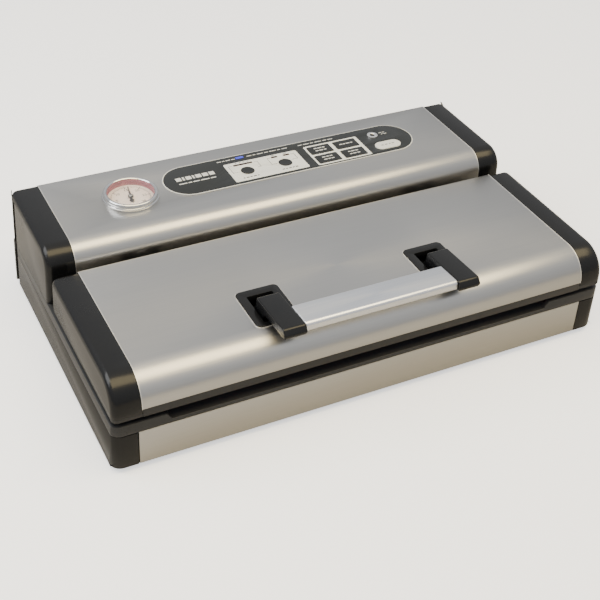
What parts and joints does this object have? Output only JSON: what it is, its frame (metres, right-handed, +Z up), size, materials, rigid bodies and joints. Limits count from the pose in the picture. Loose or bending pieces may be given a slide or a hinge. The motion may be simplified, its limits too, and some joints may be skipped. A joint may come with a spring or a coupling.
{
  "type": "countertop vacuum sealer",
  "caption": "Low wide vacuum sealer: steel-topped hinged lid with a latching bar handle, rear housing with round gauge and flat keys, sealing deck with trough, gaskets and heat bar inside.",
  "frame": {"origin": "on the table, under the middle of the machine's outline", "axes": "+X to the machine's right, +Y to the back, +Z up"},
  "size_m": [0.383, 0.2339, 0.0878],
  "materials": {
    "black_shell": "satin black moulding",
    "black_frame": "matte black moulding",
    "steel_sheet": "brushed along the width",
    "zinc_steel": "plain bright steel",
    "seal_rubber": "soft foam rubber",
    "foot_rubber": "matte",
    "red_silicone": "heat resistant silicone",
    "tape": "woven non-stick tape",
    "nichrome": "flat resistance strip",
    "tray_plastic": "satin",
    "handle_metal": "satin anodised",
    "overlay_film": "semi-gloss printed film",
    "white_print": "white print",
    "key_cap": "satin",
    "lamp": "clear tinted",
    "board_green": "circuit board",
    "switch_black": "moulded",
    "gauge_steel": "polished",
    "gauge_case": "satin",
    "dial_white": "printed card",
    "needle_black": "painted",
    "lens_clear": "clear",
    "brass_fitting": "turned",
    "pump_metal": "die cast",
    "motor_steel": "plated can",
    "fan_plastic": "moulded",
    "core_iron": "laminated core",
    "hose_silicone": "translucent silicone",
    "port_steel": "plated"
  },
  "bodies": {
    "base": {"accessory_port": "port_steel", "air_hoses": "hose_silicone", "base_tub": "black_shell", "case_screws": "zinc_steel", "control_board": "board_green", "control_overlay": "overlay_film", "cord_gland": "foot_rubber", "deck": "black_shell", "drip_tray": "tray_plastic", "front_panel": "steel_sheet", "gauge_bezel": "gauge_steel", "gauge_case": "gauge_case", "gauge_dial": "dial_white", "gauge_lens": "lens_clear", "gauge_stem": "brass_fitting", "heating_element": "nichrome", "hinge_arms": "zinc_steel", "housing_cap_left": "black_shell", "housing_cap_right": "black_shell", "housing_cover": "steel_sheet", "key_fields": "white_print", "key_switches": "switch_black", "latch_keepers": "zinc_steel", "lower_gasket": "seal_rubber", "power_board": "board_green", "pump_bracket": "zinc_steel", "pump_head": "pump_metal", "pump_motor": "motor_steel", "rear_panel": "black_frame", "rubber_feet": "foot_rubber", "seal_bar": "switch_black", "seal_tape": "tape", "solenoid_valve": "switch_black", "status_lamps": "lamp", "transformer": "core_iron"},
    "lid": {"lid_cover": "steel_sheet", "lid_cap_right": "black_shell", "lid_cap_left": "black_shell", "lid_frame": "black_frame", "lid_gasket": "seal_rubber", "pressure_strip": "red_silicone", "lid_screws": "zinc_steel", "lid_hinges": "black_frame", "hinge_pins": "zinc_steel", "handle_bezel_right": "black_frame", "handle_bezel_left": "black_frame"},
    "handle": {"handle_arm_right": "black_shell", "handle_arm_left": "black_shell", "handle_bar": "handle_metal", "latch_shaft": "zinc_steel", "latch_hooks": "zinc_steel"},
    "select_button_left_body": {"select_button_left": "key_cap"},
    "select_button_right_body": {"select_button_right": "key_cap"},
    "mode_key_1_body": {"mode_key_1": "key_cap"},
    "mode_key_2_body": {"mode_key_2": "key_cap"},
    "mode_key_3_body": {"mode_key_3": "key_cap"},
    "mode_key_4_body": {"mode_key_4": "key_cap"},
    "cancel_key_body": {"cancel_key": "key_cap"},
    "needle": {"gauge_needle": "needle_black"},
    "fan": {"pump_fan": "fan_plastic"}
  },
  "joints": [
    {"name": "lid_hinge", "type": "hinge", "parent": "base", "child": "lid", "pos_m": [0, 0.009, 0.06], "axis": [-1, 0, 0], "range_deg": [0, 75]},
    {"name": "handle_hinge", "type": "hinge", "parent": "lid", "child": "handle", "pos_m": [0, -0.066, 0.06], "axis": [-1, 0, 0], "range_deg": [-6, 40]},
    {"name": "needle_swing", "type": "hinge", "parent": "base", "child": "needle", "pos_m": [-0.1092, 0.0755, 0.082], "axis": [0, 0, -1], "range_deg": [0, 240], "stiffness_Nm_per_rad": 0.0004},
    {"name": "fan_spin", "type": "hinge", "parent": "base", "child": "fan", "pos_m": [-0.03, 0.07, 0.032], "axis": [1, 0, 0], "continuous": true},
    {"name": "select_button_left_press", "type": "slide", "parent": "base", "child": "select_button_left_body", "axis": [0, 0, -1], "range_m": [0, 0.0004], "stiffness_N_per_m": 700},
    {"name": "select_button_right_press", "type": "slide", "parent": "base", "child": "select_button_right_body", "axis": [0, 0, -1], "range_m": [0, 0.0004], "stiffness_N_per_m": 700},
    {"name": "mode_key_1_press", "type": "slide", "parent": "base", "child": "mode_key_1_body", "axis": [0, 0, -1], "range_m": [0, 0.0004], "stiffness_N_per_m": 700},
    {"name": "mode_key_2_press", "type": "slide", "parent": "base", "child": "mode_key_2_body", "axis": [0, 0, -1], "range_m": [0, 0.0004], "stiffness_N_per_m": 700},
    {"name": "mode_key_3_press", "type": "slide", "parent": "base", "child": "mode_key_3_body", "axis": [0, 0, -1], "range_m": [0, 0.0004], "stiffness_N_per_m": 700},
    {"name": "mode_key_4_press", "type": "slide", "parent": "base", "child": "mode_key_4_body", "axis": [0, 0, -1], "range_m": [0, 0.0004], "stiffness_N_per_m": 700},
    {"name": "cancel_key_press", "type": "slide", "parent": "base", "child": "cancel_key_body", "axis": [0, 0, -1], "range_m": [0, 0.0004], "stiffness_N_per_m": 700}
  ]
}
